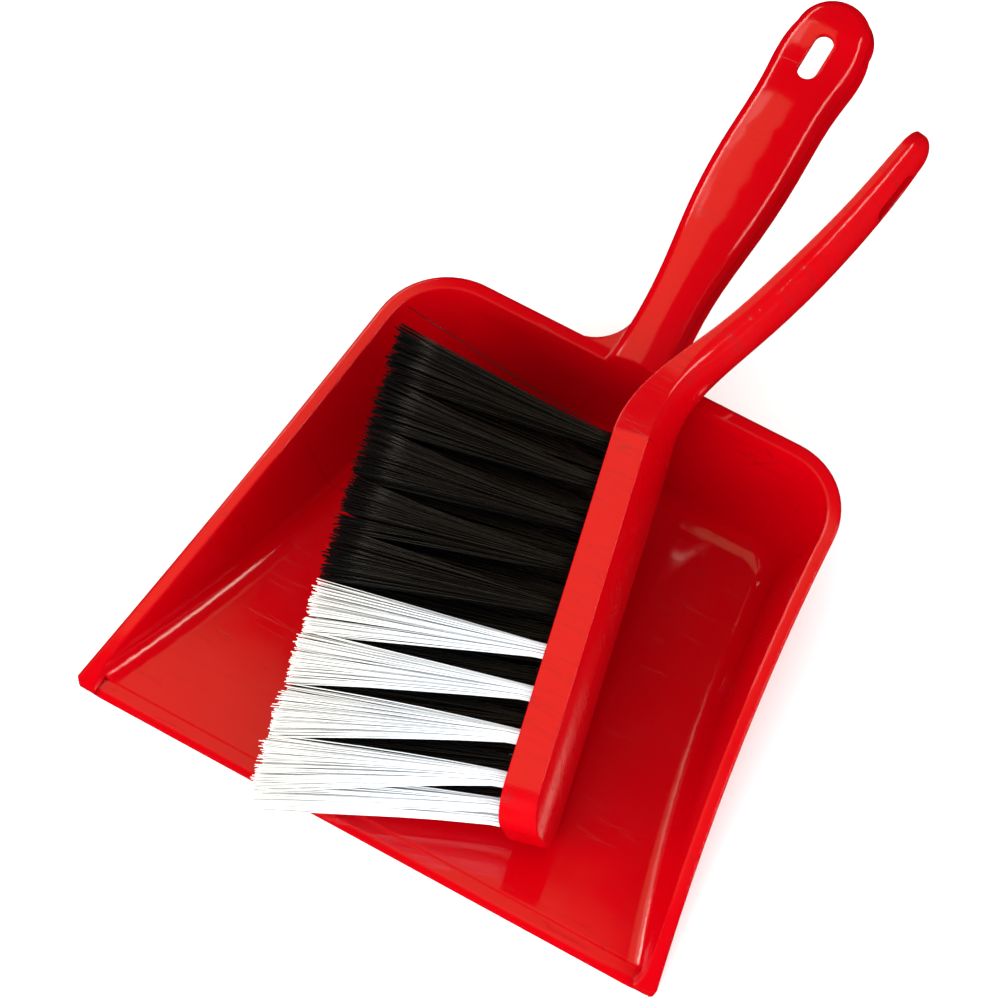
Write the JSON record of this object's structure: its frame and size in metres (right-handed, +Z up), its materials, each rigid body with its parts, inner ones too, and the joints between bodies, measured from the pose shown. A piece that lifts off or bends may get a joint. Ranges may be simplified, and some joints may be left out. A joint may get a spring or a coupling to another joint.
{
  "type": "dustpan and brush set",
  "caption": "One-piece moulded plastic dustpan with a turned-down rim and a hollow handle, and a matching hand brush with black and white tufts lying in its tray.",
  "frame": {"origin": "centreline of the pan, on the flat underside of the floor, 92 mm behind the lip", "axes": "+Z up from the floor the pan lies on, +Y from the lip towards the handles"},
  "size_m": [0.2224, 0.3422, 0.0935],
  "materials": {
    "red_plastic": "glossy injection moulded polypropylene",
    "black_bristle": "extruded filament",
    "white_bristle": "extruded filament",
    "anchor_steel": "drawn wire"
  },
  "bodies": {
    "pan": {"dustpan": "red_plastic"},
    "brush": {"brush_stock": "red_plastic", "tuft_anchors": "anchor_steel", "tuft_black_row1_05": "black_bristle", "tuft_black_row1_06": "black_bristle", "tuft_black_row1_07": "black_bristle", "tuft_black_row1_08": "black_bristle", "tuft_black_row1_09": "black_bristle", "tuft_black_row2_02": "black_bristle", "tuft_black_row2_03": "black_bristle", "tuft_black_row2_04": "black_bristle", "tuft_black_row2_05": "black_bristle", "tuft_black_row2_06": "black_bristle", "tuft_black_row2_07": "black_bristle", "tuft_black_row2_08": "black_bristle", "tuft_black_row2_09": "black_bristle", "tuft_black_row3_02": "black_bristle", "tuft_black_row3_03": "black_bristle", "tuft_black_row3_04": "black_bristle", "tuft_black_row3_05": "black_bristle", "tuft_black_row3_06": "black_bristle", "tuft_black_row3_07": "black_bristle", "tuft_black_row3_08": "black_bristle", "tuft_black_row3_09": "black_bristle", "tuft_black_row3_10": "black_bristle", "tuft_black_row4_02": "black_bristle", "tuft_black_row4_03": "black_bristle", "tuft_black_row4_04": "black_bristle", "tuft_black_row4_05": "black_bristle", "tuft_black_row4_06": "black_bristle", "tuft_black_row4_07": "black_bristle", "tuft_black_row4_08": "black_bristle", "tuft_black_row4_09": "black_bristle", "tuft_black_row5_05": "black_bristle", "tuft_black_row5_06": "black_bristle", "tuft_black_row5_07": "black_bristle", "tuft_black_row5_08": "black_bristle", "tuft_black_row5_09": "black_bristle", "tuft_white_row1_01": "white_bristle", "tuft_white_row1_02": "white_bristle", "tuft_white_row1_03": "white_bristle", "tuft_white_row1_04": "white_bristle", "tuft_white_row2_01": "white_bristle", "tuft_white_row3_01": "white_bristle", "tuft_white_row4_01": "white_bristle", "tuft_white_row5_01": "white_bristle", "tuft_white_row5_02": "white_bristle", "tuft_white_row5_03": "white_bristle", "tuft_white_row5_04": "white_bristle"}
  },
  "joints": [
    {"name": "brush_lift", "type": "slide", "parent": "pan", "child": "brush", "axis": [0, 0, 1], "range_m": [0, 0.15]}
  ]
}
